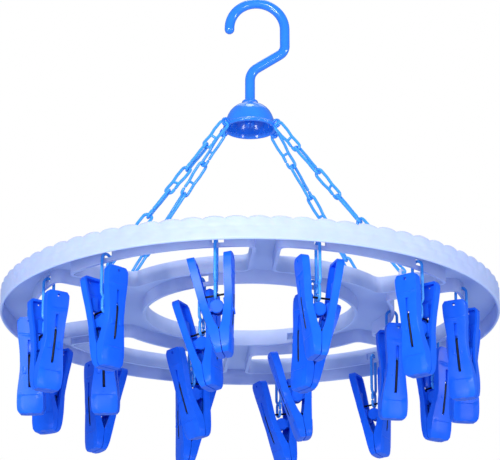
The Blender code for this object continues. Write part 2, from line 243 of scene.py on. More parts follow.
def moulded_plastic(name, colour, roughness, grain_mm, flow_mm, deep=None, scatter=0.0, coat=0.0, gloss=0.5):
    """Injection-moulded polypropylene: a satin skin with a fine grain, slow flow marks and faint clouding.

    A mould's real grain is about 0.1 mm. It is drawn at 0.4 to 0.5 mm, the finest that shows from here.
    """
    material, tree, place = new_material(name)
    flow = add_node(
        tree, "ShaderNodeTexNoise", inputs={"Vector": place, "Scale": per_metre(flow_mm), "Detail": 3.0}
    )
    grain = add_node(
        tree, "ShaderNodeTexNoise", inputs={"Vector": place, "Scale": per_metre(grain_mm), "Detail": 2.0}
    )
    light = (*(min(1.0, c * 1.10 + 0.004) for c in colour), 1.0)
    dark = (*(c * 0.88 for c in colour), 1.0)
    cloud = add_node(
        tree, "ShaderNodeMix", {"data_type": "RGBA"},
        {"Factor": flow.outputs["Fac"], "A": dark, "B": light},
    ).outputs["Result"]
    # Painted shade: faces that point down blend into the deep colour, a bluer tint that stands in for the
    # shade under the frame.
    if deep is not None:
        normal = add_node(tree, "ShaderNodeNewGeometry").outputs["Normal"]
        upward = add_node(tree, "ShaderNodeSeparateXYZ", inputs={"Vector": normal}).outputs["Z"]
        painted_shade_facing_down = add_node(
            tree, "ShaderNodeMapRange", {"interpolation_type": "SMOOTHSTEP"},
            {"Value": upward, "From Min": 0.35, "From Max": -0.75},
        ).outputs["Result"]
        cloud = add_node(
            tree, "ShaderNodeMix", {"data_type": "RGBA"},
            {"Factor": painted_shade_facing_down, "A": cloud, "B": (*deep, 1.0)},
        ).outputs["Result"]
    sheen = add_node(
        tree, "ShaderNodeMapRange",
        inputs={"Value": flow.outputs["Fac"], "To Min": roughness * 0.8, "To Max": roughness * 1.25},
    )
    slow_bump = add_node(
        tree, "ShaderNodeBump",
        inputs={"Strength": 0.18, "Distance": 0.25 * MM, "Height": flow.outputs["Fac"]},
    )
    fine_bump = add_node(
        tree, "ShaderNodeBump",
        inputs={
            "Strength": 0.22, "Distance": 0.04 * MM,
            "Height": grain.outputs["Fac"], "Normal": slow_bump.outputs["Normal"],
        },
    )
    inputs = {
        "Base Color": cloud,
        "Roughness": sheen.outputs["Result"],
        "IOR": 1.49,
        "Specular IOR Level": gloss,
        "Normal": fine_bump.outputs["Normal"],
    }
    if coat > 0.0:
        inputs["Coat Weight"] = coat
        inputs["Coat Roughness"] = 0.06
    if scatter > 0.0:
        inputs["Subsurface Weight"] = scatter
        inputs["Subsurface Scale"] = 2.0 * MM
    return surfaced(material, inputs)


def spring_steel(name):
    """The clips' springs, drawn and blackened wire: near black, with fine wear that catches the light."""
    colour = tuple(bpy.context.scene.hanger_colours.spring)
    material, tree, place = new_material(name)
    wear = add_node(
        tree, "ShaderNodeTexNoise", inputs={"Vector": place, "Scale": per_metre(1.2), "Detail": 4.0}
    ).outputs["Fac"]
    worn = tuple(min(1.0, c * 3.0 + 0.01) for c in colour)
    tone = add_node(
        tree, "ShaderNodeMix", {"data_type": "RGBA"},
        {"Factor": wear, "A": (*colour, 1.0), "B": (*worn, 1.0)},
    ).outputs["Result"]
    bump = add_node(
        tree, "ShaderNodeBump", inputs={"Strength": 0.2, "Distance": 0.03 * MM, "Height": wear}
    ).outputs["Normal"]
    return surfaced(material, {"Base Color": tone, "Metallic": 0.85, "Roughness": 0.38, "Normal": bump})


def painted_floor(colour):
    """Matt studio paint with a very faint roller texture."""
    material, tree, place = new_material("Studio floor, matt paint")
    roller = add_node(
        tree, "ShaderNodeTexNoise", inputs={"Vector": place, "Scale": per_metre(40.0), "Detail": 2.0}
    ).outputs["Fac"]
    tone = add_node(
        tree, "ShaderNodeMix", {"data_type": "RGBA"},
        {"Factor": roller, "A": (*(c * 0.985 for c in colour), 1.0), "B": (*colour, 1.0)},
    ).outputs["Result"]
    return surfaced(material, {"Base Color": tone, "Roughness": 0.85})


def frame_plastic(name):
    """The frame, from a finely textured mould: wide soft highlights, and painted shade underneath, a bluer
    colour on the faces that point down.
    """
    colours = bpy.context.scene.hanger_colours
    # The second colour is painted shade for the faces that point down.
    top, deep = tuple(colours.frame_top), tuple(colours.frame_painted_shade)
    return moulded_plastic(name, top, 0.45, 0.5, 9.0, deep=deep, scatter=0.1)


def clip_plastic(name):
    """The clips, from a smooth mould and dulled by handling: a deep even blue with weak highlights."""
    return moulded_plastic(name, tuple(bpy.context.scene.hanger_colours.clip), 0.30, 0.4, 6.0, gloss=0.22)


def hook_plastic(name):
    """The hook and the cap, from a polished mould: small bright highlights under a clear skin."""
    return moulded_plastic(name, tuple(bpy.context.scene.hanger_colours.hook), 0.18, 0.5, 7.0, coat=0.6)


def chain_plastic(name):
    """The links, thin and smooth: a lighter blue with a bright line along each rod."""
    return moulded_plastic(name, tuple(bpy.context.scene.hanger_colours.chain), 0.26, 0.4, 4.0)


# Each material slot's finish: its name and what makes it.
FINISHES = {
    "frame_plastic": ("Polypropylene, moulded, pale blue", frame_plastic),
    "clip_plastic": ("Polypropylene, moulded, royal blue", clip_plastic),
    "hook_plastic": ("Polypropylene, moulded, mid blue", hook_plastic),
    "chain_plastic": ("Polypropylene, moulded, sky blue", chain_plastic),
    "spring_steel": ("Spring steel wire, blackened", spring_steel),
}


def finish_of(slot):
    """The material of a slot, made when it is first asked for."""
    name, make = FINISHES[slot]
    return bpy.data.materials.get(name) or make(name)


# Shapes


def round_place(angle, radius, height=0.0):
    """A point at an angle round the frame's axis."""
    return Vector((radius * sin(angle), -radius * cos(angle), height))


def facing(angle):
    """Turns local X to the tangent and local Y inwards at an angle round the frame."""
    return Matrix.Rotation(angle, 4, "Z")


def plain_mesh(work):
    """A mesh from a bmesh, which is freed."""
    mesh = bpy.data.meshes.new("shape")
    work.to_mesh(mesh)
    work.free()
    return mesh


def shade(mesh, sharp_degrees=SHARP_DEGREES):
    """Smooth shading, with the sharp edges kept."""
    mesh.shade_smooth()
    mesh.set_sharp_from_angle(angle=radians(sharp_degrees))
    return mesh


def finished_mesh(work, sharp_degrees=SHARP_DEGREES):
    """A shaded mesh from a bmesh, merged, with its faces pointing out."""
    bmesh.ops.remove_doubles(work, verts=work.verts, dist=0.004 * MM)
    bmesh.ops.recalc_face_normals(work, faces=work.faces)
    return shade(plain_mesh(work), sharp_degrees)


def add_piece(name, mesh, place, slot, body, replaced=None):
    """A piece with its place in its mesh and its slot's finish, riding on a body of the frame."""
    mesh.transform(place)
    mesh.name = name
    mesh.materials.clear()
    mesh.materials.append(finish_of(slot))
    piece = bpy.data.objects.new(name, mesh)
    bpy.context.scene.collection.objects.link(piece)
    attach(piece, body)
    if replaced is not None:
        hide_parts(replaced)
    return piece


def modified_mesh(mesh, add_modifiers):
    """A new mesh in place of this one, with the modifiers that add_modifiers puts on it."""
    holder = bpy.data.objects.new("holder", mesh)
    bpy.context.scene.collection.objects.link(holder)
    add_modifiers(holder)
    bpy.context.view_layer.update()
    evaluated = holder.evaluated_get(bpy.context.evaluated_depsgraph_get())
    result = bpy.data.meshes.new_from_object(evaluated)
    bpy.data.objects.remove(holder, do_unlink=True)
    bpy.data.meshes.remove(mesh)
    return result


def walled_mesh(mesh, thickness):
    """A skin's mesh with a wall of this thickness behind it."""

    def thicken(holder):
        solid = holder.modifiers.new("Solidify", "SOLIDIFY")
        solid.thickness = thickness
        solid.offset = -1.0
        solid.use_even_offset = True

    return modified_mesh(mesh, thicken)


def cut_mesh(mesh, cutter):
    """A new mesh in place of this one, less the cutter's volume, with its sharp edges kept."""
    tool = bpy.data.objects.new("cutter", cutter)
    bpy.context.scene.collection.objects.link(tool)

    def cut(holder):
        boolean = holder.modifiers.new("Boolean", "BOOLEAN")
        boolean.operation = "DIFFERENCE"
        boolean.solver = "EXACT"
        boolean.object = tool

    whole = len(mesh.polygons)
    result = modified_mesh(mesh, cut)
    bpy.data.objects.remove(tool, do_unlink=True)
    bpy.data.meshes.remove(cutter)
    if len(result.polygons) < whole / 2:
        raise RuntimeError("A cut took away most of the faces")
    return shade(result)


def in_metres(point):
    """A point or a profile's (radius, height) pair, from millimetres."""
    return tuple(value * MM for value in point)


def ring_edges(found):
    return [item for item in found if isinstance(item, bmesh.types.BMEdge)]


def ring_verts(found):
    return [item for item in found if isinstance(item, bmesh.types.BMVert)]


def draw_out(work, edges, offset):
    """Extrudes an open ring of edges by an offset, and gives the new ring."""
    found = bmesh.ops.extrude_edge_only(work, edges=edges)["geom"]
    verts = set(ring_verts(found))
    bmesh.ops.translate(work, vec=offset, verts=list(verts))
    return [edge for edge in ring_edges(found) if all(v in verts for v in edge.verts)]


def round_tip(work, edges, centre, heading, radius, steps=4):
    """Closes a rod's end with a half ball."""
    reach = 0.0
    width = 1.0
    for step in range(1, steps):
        angle = pi / 2 * step / steps
        edges = draw_out(work, edges, heading * (radius * sin(angle) - reach))
        centre = centre + heading * (radius * sin(angle) - reach)
        verts = list({v for edge in edges for v in edge.verts})
        scale = cos(angle) / width
        bmesh.ops.scale(work, vec=(scale,) * 3, space=Matrix.Translation(-centre), verts=verts)
        reach = radius * sin(angle)
        width = cos(angle)
    bmesh.ops.edgeloop_fill(work, edges=edges)


def bent_rod(work, corners, bends, radius, sides, closed=False, bend_step=radians(20.0)):
    """A round rod in the XZ plane, drawn straight from corner to corner and spun round each bend.

    corners are (x, z) points. bends holds each corner's bend radius. An open rod gets round tips.
    """
    points = [Vector((x, 0.0, z)) for x, z in corners]
    heading = (points[1] - points[0]).normalized()
    if closed:
        start = (points[0] + points[1]) / 2
        route = zip(points[1:] + points[:1], points[2:] + points[:2], bends[1:] + bends[:1])
    else:
        start = points[0]
        route = zip(points[1:-1], points[2:], bends[1:-1])
    turn = heading.to_track_quat("Z", "Y").to_matrix().to_4x4()
    made = bmesh.ops.create_circle(
        work, segments=sides, radius=radius, matrix=Matrix.Translation(start) @ turn
    )
    first = list({edge for vert in made["verts"] for edge in vert.link_edges})
    edges = first
    place = start
    first_heading = heading
    for corner, following, bend in route:
        onward = (following - corner).normalized()
        angle = heading.angle(onward)
        reach = (corner - place).dot(heading) - bend * tan(angle / 2)
        if reach > 0.01 * MM:
            edges = draw_out(work, edges, heading * reach)
            place = place + heading * reach
        axis = heading.cross(onward).normalized()
        centre = place + axis.cross(heading) * bend
        spun = bmesh.ops.spin(
            work, geom=edges, cent=centre, axis=axis, angle=angle, steps=max(2, ceil(angle / bend_step))
        )
        edges = ring_edges(spun["geom_last"])
        place = centre + Matrix.Rotation(angle, 3, axis) @ (place - centre)
        heading = onward
    last = start if closed else points[-1]
    reach = (last - place).dot(heading)
    if reach > 0.01 * MM:
        edges = draw_out(work, edges, heading * reach)
        place = place + heading * reach
    if closed:
        bmesh.ops.remove_doubles(work, verts=work.verts, dist=0.02 * MM)
    else:
        round_tip(work, edges, place, heading, radius)
        round_tip(work, first, start, -first_heading, radius)


def turned(work, profile, steps, closed=True):
    """Spins a profile of (radius, height) points round Z."""
    verts = [work.verts.new((radius, 0.0, height)) for radius, height in profile]
    last = len(verts) if closed else len(verts) - 1
    edges = [work.edges.new((verts[i], verts[(i + 1) % len(verts)])) for i in range(last)]
    bmesh.ops.spin(
        work, geom=verts + edges, cent=(0.0, 0.0, 0.0), axis=(0.0, 0.0, 1.0), angle=2 * pi,
        steps=steps, use_merge=True,
    )


def box(work, low, high):
    """A box between two corners. It gives the new vertices."""
    size = [far - near for near, far in zip(low, high)]
    centre = Vector([(far + near) / 2 for near, far in zip(low, high)])
    place = Matrix.Translation(centre) @ Matrix.Diagonal((*size, 1.0))
    return bmesh.ops.create_cube(work, size=1.0, matrix=place)["verts"]


def round_edges(work, edges, width, segments):
    """Bevels edges to a round, as far as their faces allow."""
    bmesh.ops.bevel(
        work, geom=edges, offset=width, offset_type="OFFSET", affect="EDGES",
        segments=segments, profile=0.5, material=-1, clamp_overlap=True,
    )


def soft_box(work, low, high, width):
    """A box between two corners, with rounded edges."""
    chosen = set(box(work, low, high))
    edges = [edge for edge in work.edges if all(v in chosen for v in edge.verts)]
    round_edges(work, edges, width, 2)


def is_sharp(edge):
    """Whether two faces meet at this edge, and at more than 50 degrees."""
    return len(edge.link_faces) == 2 and edge.calc_face_angle(0.0) > radians(50.0)


def eased(rows, at):
    """Reads (position, value) rows, in rising order, with a smooth curve through them."""
    if at <= rows[0][0]:
        return rows[0][1]
    if at >= rows[-1][0]:
        return rows[-1][1]
    slopes = []
    for before, after in zip((rows[0], *rows[:-1]), (*rows[1:], rows[-1])):
        slopes.append((after[1] - before[1]) / (after[0] - before[0]))
    i = max(index for index, row in enumerate(rows) if row[0] <= at)
    (a, low), (b, high) = rows[i], rows[i + 1]
    t = (at - a) / (b - a)
    value = (1 + 2 * t) * (1 - t) ** 2 * low + t * t * (3 - 2 * t) * high
    return value + (t * (1 - t) ** 2 * slopes[i] - t * t * (1 - t) * slopes[i + 1]) * (b - a)


def smooth(low, high, value):
    """0 below low, 1 above high, and an even curve between."""
    t = min(1.0, max(0.0, (value - low) / (high - low)))
    return t * t * (3 - 2 * t)


# Hook


class HANGER_OT_hook(bpy.types.Operator):
    """One bent rod with a rounded tip, and the round retainer that holds it under the cap"""

    bl_idname = "hanger.build_hook"
    bl_label = "Build hook"

    def execute(self, context):
        side_x = CROWN_CENTRE_X + CROWN_RADIUS
        top = CROWN_CENTRE_Z + CROWN_RADIUS
        far_x = CROWN_CENTRE_X - CROWN_RADIUS
        corners = (
            (0.0, STEM_START),
            (0.0, STEM_TOP),
            (side_x, SHOULDER_Z),
            (side_x, top),
            (far_x, top),
            (far_x, CROWN_CENTRE_Z - TIP_BELOW_CENTRE),
        )
        bends = (0.0, STEM_BEND, SHOULDER_BEND, CROWN_RADIUS, CROWN_RADIUS, 0.0)
        work = bmesh.new()
        bent_rod(work, corners, bends, ROD_RADIUS, 32, bend_step=radians(5.0))
        split = bmesh.new()
        half, reach = STEM_SPLIT_WIDTH / 2, 2.0 * ROD_RADIUS
        box(split, (-half, -reach, STEM_START - reach), (half, reach, STEM_SPLIT_TOP))
        rod = cut_mesh(finished_mesh(work), finished_mesh(split))
        lift = Matrix.Translation((0.0, 0.0, COLLAR_TOP_Z))
        add_piece("hook_rod", rod, lift, "hook_plastic", HOOK_BODY, replaced="hook")
        work = bmesh.new()
        hidden = ROD_RADIUS - RETAINER_EDGE
        face = RETAINER_RADIUS - RETAINER_EDGE
        low, high = RETAINER_LOW, RETAINER_HIGH
        profile = (
            (hidden, high), (face, high), (RETAINER_RADIUS, high - RETAINER_EDGE),
            (RETAINER_RADIUS, low + RETAINER_EDGE), (face, low), (hidden, low),
        )
        turned(work, profile, 48)
        add_piece("hook_retainer", finished_mesh(work), lift, "hook_plastic", HOOK_BODY)
        return {"FINISHED"}


# Cap

# The dome's walls as (radius, height above the rim) points from the collar down and back up, in mm.
CAP_OUTER_MM = (
    (3.7, 20.5), (4.9, 20.5), (5.3, 20.1), (5.5, 18.9), (6.2, 17.8), (7.8, 17.0), (9.8, 16.1),
    (11.7, 14.6), (13.4, 12.6), (14.8, 10.0), (15.8, 7.2), (16.4, 4.4), (16.6, 2.9),
)
CAP_INNER_MM = (
    (15.2, 3.4), (14.7, 5.6), (13.8, 8.2), (12.4, 10.6), (10.6, 12.6), (8.4, 14.0), (6.0, 14.7), (3.7, 14.8),
)
BEAD_CENTRE_MM = (16.6, 1.3)
BEAD_RADIUS_MM = 1.25
EYELET_FOOT_MM = ((2.5, -0.9, -1.3), (3.7, 0.9, 1.3))


def rim_bead():
    """The points of the bead round the cap's rim, from outside to inside."""
    angles = [radians(68.0 - 27.0 * step) for step in range(9)]
    radius, height = BEAD_CENTRE_MM
    return tuple((radius + BEAD_RADIUS_MM * cos(a), height + BEAD_RADIUS_MM * sin(a)) for a in angles)


class HANGER_OT_cap(bpy.types.Operator):
    """A hollow dome with a collar and a beaded rim, and four ring eyelets for the chains"""

    bl_idname = "hanger.build_cap"
    bl_label = "Build cap"

    def execute(self, context):
        work = bmesh.new()
        turned(work, [in_metres(point) for point in CAP_OUTER_MM + rim_bead() + CAP_INNER_MM], 96)
        lift = Matrix.Translation((0.0, 0.0, CAP_RIM_Z))
        dome = finished_mesh(work, 50.0)
        add_piece("cap_dome", dome, lift, "hook_plastic", FRAME_BODY, replaced="cap")
        half = EYELET_HALF_WIDTH
        corners = ((-half, -half), (half, -half), (half, half), (-half, half))
        side = Matrix.Rotation(pi / 2, 4, "Z")
        hang = Matrix.Translation((0.0, -EYELET_CENTRE_RADIUS, CAP_RIM_Z + EYELET_DROP))
        for name, angle in CHAIN_ANGLES.items():
            work = bmesh.new()
            bent_rod(work, corners, (half,) * 4, FITTING_ROD, 12, closed=True)
            soft_box(work, *map(in_metres, EYELET_FOOT_MM), 0.3 * MM)
            eyelet = finished_mesh(work)
            place = facing(radians(angle)) @ hang @ side
            add_piece("cap_eyelet_" + name, eyelet, place, "hook_plastic", FRAME_BODY)
        return {"FINISHED"}


# Chains


def chain_line():
    """Each chain's first and last point on its links' centreline, as (outward, height) in its own plane."""
    sizes = bpy.context.scene.hanger_sizes
    wire = sizes.chain_wire / 2
    eyelet = Vector((EYELET_CENTRE_RADIUS, CAP_RIM_Z + EYELET_DROP))
    staple = Vector((CHAIN_ANCHOR_RADIUS, LIP_Z + PLATE_TOP + STAPLE_HEIGHT))
    along = (staple - eyelet).normalized()
    start = eyelet + along * (EYELET_HALF_WIDTH - FITTING_ROD - wire)
    end = staple + along * (FITTING_ROD + wire)
    return start, end, along


def snap_link(work, length, width, wire, sides):
    """A figure of eight along X from X = 0: a long loop, a bar at its waist, and a loop with a snap gap."""
    half = width / 2
    waist = half * WAIST_WIDTH
    small = half * SMALL_LOOP_WIDTH
    bar_x = length * (1.0 - SMALL_LOOP_SHARE)
    shoulder_x = bar_x * SHOULDER_AT
    gap_x = length * (1.0 - SMALL_LOOP_SHARE * 0.5)
    gap = wire * 0.5
    corners = (
        (gap_x - gap, -small), (bar_x, -waist), (shoulder_x, -half), (0.0, -half), (0.0, half),
        (shoulder_x, half), (bar_x, waist), (gap_x, small), (length, small), (length, -small),
        (gap_x + gap, -small),
    )
    gentle = 4.0 * MM
    bends = (0.0, gentle, gentle, half, half, gentle, gentle, gentle, small * 0.96, small * 0.96, 0.0)
    bent_rod(work, corners, bends, wire / 2, sides)
    bent_rod(work, ((bar_x, -waist), (bar_x, 0.0), (bar_x, waist)), (0.0, 0.01 * MM, 0.0), wire * 0.46, sides)


class HANGER_OT_chains(bpy.types.Operator):
    """Four chains of six snap links, turned a quarter from one link to the next"""

    bl_idname = "hanger.build_chains"
    bl_label = "Build chains"

    def execute(self, context):
        sizes = context.scene.hanger_sizes
        start, end, along = chain_line()
        wire = sizes.chain_wire
        span = (end - start).length
        length = (span + (LINKS_PER_CHAIN - 1) * wire) / LINKS_PER_CHAIN
        work = bmesh.new()
        snap_link(work, length, sizes.chain_width - wire, wire, 10)
        link = finished_mesh(work)
        slope = Matrix.Rotation(-atan2(along.y, along.x), 4, "Y")
        for name, angle in CHAIN_ANGLES.items():
            outward = facing(radians(angle)) @ Matrix.Rotation(-pi / 2, 4, "Z")
            for index in range(LINKS_PER_CHAIN):
                roll = CHAIN_ROLLS[name] + ROLL_STEP * (index % 3 - 1)
                quarter = Matrix.Rotation(pi / 2 * (index % 2) + radians(roll), 4, "X")
                point = start + along * (index * (length - wire))
                place = outward @ Matrix.Translation((point.x, 0.0, point.y)) @ slope @ quarter
                piece = "chain_%s_link_%d" % (name, index + 1)
                replaced = "chain_" + name if index == 0 else None
                add_piece(piece, link.copy(), place, "chain_plastic", FRAME_BODY, replaced=replaced)
        bpy.data.meshes.remove(link)
        return {"FINISHED"}


# Frame


def shell_surface(fillet, edge_round):
    """The frame's upper skin and the walls of its windows, without thickness, centred on the axis."""
    work = bmesh.new()
    top = PLATE_TOP
    steps = 10

    def arc(radius, first, last):
        return [round_place(first + (last - first) * i / steps, radius, top) for i in range(steps + 1)]

    plate_radius = BAND_INNER_RADIUS + WALL / 2
    outer_side = SPOKE_HALF_WIDTH / WINDOW_OUTER_RADIUS
    inner_side = SPOKE_HALF_WIDTH / WINDOW_INNER_RADIUS
    outline = arc(plate_radius, HALF_SECTOR, 0.0)
    outline += arc(CENTRE_HOLE_RADIUS, 0.0, HALF_SECTOR)
    outline += arc(WINDOW_INNER_RADIUS, HALF_SECTOR, inner_side)
    outline += arc(WINDOW_OUTER_RADIUS, outer_side, HALF_SECTOR)
    half = work.faces.new([work.verts.new(point) for point in outline])
    mirrored = bmesh.ops.duplicate(work, geom=[half, *half.verts, *half.edges])["geom"]
    bmesh.ops.scale(work, vec=(-1.0, 1.0, 1.0), verts=ring_verts(mirrored))
    bmesh.ops.spin(
        work, geom=work.verts[:] + work.edges[:] + work.faces[:], cent=(0.0, 0.0, 0.0), axis=(0.0, 0.0, 1.0),
        angle=2 * pi, steps=SPOKE_COUNT, use_duplicate=True,
    )
    bmesh.ops.remove_doubles(work, verts=work.verts, dist=0.02 * MM)
    bmesh.ops.recalc_face_normals(work, faces=work.faces)
    limit = BAND_INNER_RADIUS - 1.0 * MM
    rim = [
        edge for edge in work.edges
        if edge.is_boundary and all(v.co.xy.length < limit for v in edge.verts)
    ]
    found = bmesh.ops.extrude_edge_only(work, edges=rim)["geom"]
    bmesh.ops.translate(work, vec=(0.0, 0.0, WALL_BOTTOM - PLATE_TOP), verts=ring_verts(found))

    def rise(edge):
        return abs(edge.verts[0].co.z - edge.verts[1].co.z)

    corners = [edge for edge in work.edges if rise(edge) > 1.0 * MM and is_sharp(edge)]
    round_edges(work, corners, fillet, 6)
    upper = [
        edge for edge in work.edges
        if all(abs(v.co.z - top) < 0.01 * MM for v in edge.verts) and is_sharp(edge)
    ]
    round_edges(work, upper, edge_round, 3)
    bmesh.ops.recalc_face_normals(work, faces=work.faces)
    if max(work.faces, key=lambda f: f.calc_area()).normal.z < 0:
        bmesh.ops.reverse_faces(work, faces=work.faces)
    return plain_mesh(work)


def hanging_hole(number):
    """The middle of the hole that a clip's link hangs in."""
    return Vector(JOINTS["clip_%02d_swing" % number]["pos_m"])


def slot_cutters(width, height):
    """The boxes that cut the hanging slots through the frame's walls, one for each clip."""
    work = bmesh.new()
    for number in range(1, CLIP_COUNT + 1):
        hole = hanging_hole(number)
        angle = atan2(hole.x, -hole.y)
        left = -width / 2 + SLOT_OFFSET
        verts = box(work, (left, -3.0 * MM, -height / 2), (left + width, 3.0 * MM, height / 2))
        place = Matrix.Translation((hole.x, hole.y, hole.z - LIP_Z)) @ facing(angle)
        bmesh.ops.transform(work, matrix=place, verts=verts)
    return finished_mesh(work)


def band_mesh(sizes):
    """The outer band: a rounded lip below, two rows of shells on its face, and a scalloped top edge."""
    count = sizes.scallop_count
    outer, inner, top = FRAME_RADIUS, BAND_INNER_RADIUS, BAND_HEIGHT
    lip = 0.9 * MM
    rows = 16
    profile = [
        (inner, lip), (inner + 0.3 * MM, 0.3 * MM), (inner + 1.0 * MM, 0.0), (outer - 0.4 * MM, 0.2 * MM),
    ]
    for row in range(rows + 1):
        profile.append((outer, lip + (top - 0.5 * MM - lip) * row / rows))
    profile += [(outer - 0.5 * MM, top), (inner + 0.5 * MM, top), (inner, top - 0.5 * MM)]
    work = bmesh.new()
    turned(work, profile, count * 8)
    face_limit = outer - 0.05 * MM
    for vert in work.verts:
        radius = vert.co.xy.length
        height = vert.co.z
        angle = atan2(vert.co.x, -vert.co.y)
        shell = abs(sin(angle * count / 2))
        between = abs(cos(angle * count / 2))
        drop = sizes.scallop_depth * (1.0 - shell ** 0.7) * smooth(SCALLOP_FROM * top, top, height)
        if radius > face_limit:
            upper = smooth(UPPER_SHELLS[0] * top, UPPER_SHELLS[1] * top, height)
            lower = smooth(LOWER_SHELLS[0] * top, LOWER_SHELLS[1] * top, height) * (1.0 - upper)
            hollow = upper * (1.0 - shell ** 0.6) + lower * (1.0 - between ** 0.6)
            crease = CREASE_DEPTH * (1.0 - min(1.0, abs(height - CREASE_AT * top) / (CREASE_REACH * top)))
            sink = sizes.relief_depth * min(1.0, hollow + max(0.0, crease))
            vert.co.x *= 1.0 - sink / radius
            vert.co.y *= 1.0 - sink / radius
        vert.co.z -= drop
    return finished_mesh(work, 60.0)


class HANGER_OT_frame(bpy.types.Operator):
    """The ring frame: a scalloped band round a hollow moulded wheel with six windows, and chain staples"""

    bl_idname = "hanger.build_frame"
    bl_label = "Build frame"

    def execute(self, context):
        sizes = context.scene.hanger_sizes
        lift = Matrix.Translation((0.0, 0.0, LIP_Z))
        skin = shell_surface(sizes.window_fillet, sizes.edge_round)
        shell = cut_mesh(walled_mesh(skin, WALL), slot_cutters(sizes.slot_width, sizes.slot_height))
        wheel = add_piece("frame_wheel", shell, lift, "frame_plastic", FRAME_BODY, replaced="ring_frame")
        round_off = wheel.modifiers.new("Bevel", "BEVEL")
        round_off.width = 0.45 * MM
        round_off.segments = 2
        round_off.limit_method = "ANGLE"
        round_off.angle_limit = radians(55.0)
        add_piece("frame_band", band_mesh(sizes), lift, "frame_plastic", FRAME_BODY)
        half, bend = STAPLE_HALF_WIDTH, STAPLE_BEND
        corners = (
            (-half, -STAPLE_ROOT), (-half, STAPLE_HEIGHT), (half, STAPLE_HEIGHT), (half, -STAPLE_ROOT),
        )
        stand = Matrix.Translation((0.0, -CHAIN_ANCHOR_RADIUS, LIP_Z + PLATE_TOP))
        for name, angle in CHAIN_ANGLES.items():
            work = bmesh.new()
            bent_rod(work, corners, (0.0, bend, bend, 0.0), FITTING_ROD, 12)
            staple = finished_mesh(work)
            place = facing(radians(angle)) @ stand
            add_piece("frame_staple_" + name, staple, place, "frame_plastic", FRAME_BODY)
        return {"FINISHED"}


# Clips

# A half's outer face and the edge of its side walls, as (height, distance from the middle) rows, in mm.
OUTER_FACE_MM = (
    (-29.0, 4.3), (-26.0, 5.3), (-18.0, 6.6), (-8.0, 8.5), (2.0, 10.5), (16.0, 12.3), (31.0, 14.2),
)
INNER_EDGE_MM = ((-29.0, 0.3), (-14.6, 0.3), (-12.0, 1.6), (2.0, 5.1), (16.0, 6.9), (31.0, 8.8))
HALF_WIDTH_MM = ((-29.0, 8.1), (-24.0, 8.5), (-16.0, 8.2), (-2.0, 6.3), (8.0, 6.2), (22.0, 7.5), (31.0, 7.6))
HANDLE_TOP_MM = 31.0
JAW_END_MM = -29.0
SLOT_TOP_MM = 16.6
SLOT_END_MM = -13.2
SLOT_HALF_MM = 0.9
RIDGE_MM = 19.6
PAD_TOP_MM = -17.5
HOLE_MM = 28.3
HOLE_RADIUS_MM = 0.8

# Where a half's columns of faces stand, as shares of its half width, with the slot's sides between.
COLUMN_SHARES = (-1.0, -0.93, -0.72, -0.42, None, None, 0.42, 0.72, 0.93, 1.0)
SKIN_INSET_MM = 0.45
RIDGE_HEIGHT_MM = 0.5
RIDGE_REACH_MM = 0.5
RIDGE_BOW_MM = 1.7
PAD_HEIGHT_MM = 0.55
PAD_STEP_MM = 0.7
CROWN_MM = 0.35
NARROW_FACE_MM = 1.6

# Inside a half: the plate behind its slot, the moving half's ribs and the fixed half's webs, as corners.
COVER_PLATE_MM = ((8.0, -1.9, 9.0), (10.3, 1.9, 17.6))
RIB_MM = ((4.5, 1.9, -4.6), (9.6, 4.3, 4.2))
WEB_MM = ((2.4, 1.7, -2.8), (9.6, 3.2, 2.8))

# The pivot barrel as (radius, distance along it) points, with a groove round its middle.
BARREL_MM = (
    (0.0, -3.4), (3.8, -3.4), (4.2, -3.0), (4.2, -1.5), (3.0, -1.3),
    (3.0, 1.3), (4.2, 1.5), (4.2, 3.0), (3.8, 3.4), (0.0, 3.4),
)

# The solid jaw: its top, its teeth, and how deep a tooth is cut.
JAW_TOP_MM = -14.8
JAW_TEETH = 9
TOOTH_MM = 0.45


def face_rows():
    """Heights of the rows across a clip half, closer together at its ends, ridge, slot and hole."""
    marks = (
        JAW_END_MM, JAW_END_MM + 0.5, -27.0, PAD_TOP_MM - PAD_STEP_MM, PAD_TOP_MM, SLOT_END_MM, SLOT_TOP_MM,
        RIDGE_MM - 0.7, RIDGE_MM + 2.4, HOLE_MM - HOLE_RADIUS_MM, HOLE_MM + HOLE_RADIUS_MM,
        HANDLE_TOP_MM - 0.5, HANDLE_TOP_MM,
    )
    rows = []
    for low, high in zip(marks, marks[1:]):
        step = 0.45 if low >= RIDGE_MM - 0.8 and high <= RIDGE_MM + 2.5 else 2.2
        parts = max(1, ceil((high - low) / step))
        rows += [low + (high - low) * i / parts for i in range(parts)]
    return rows + [HANDLE_TOP_MM]


def corner_pull(height):
    """How far a corner of the face draws in at its ends, where the outline is rounded."""
    top = smooth(HANDLE_TOP_MM - 2.2, HANDLE_TOP_MM, height)
    end = smooth(JAW_END_MM + 1.8, JAW_END_MM, height)
    return 1.5 * top * top + 1.2 * end * end


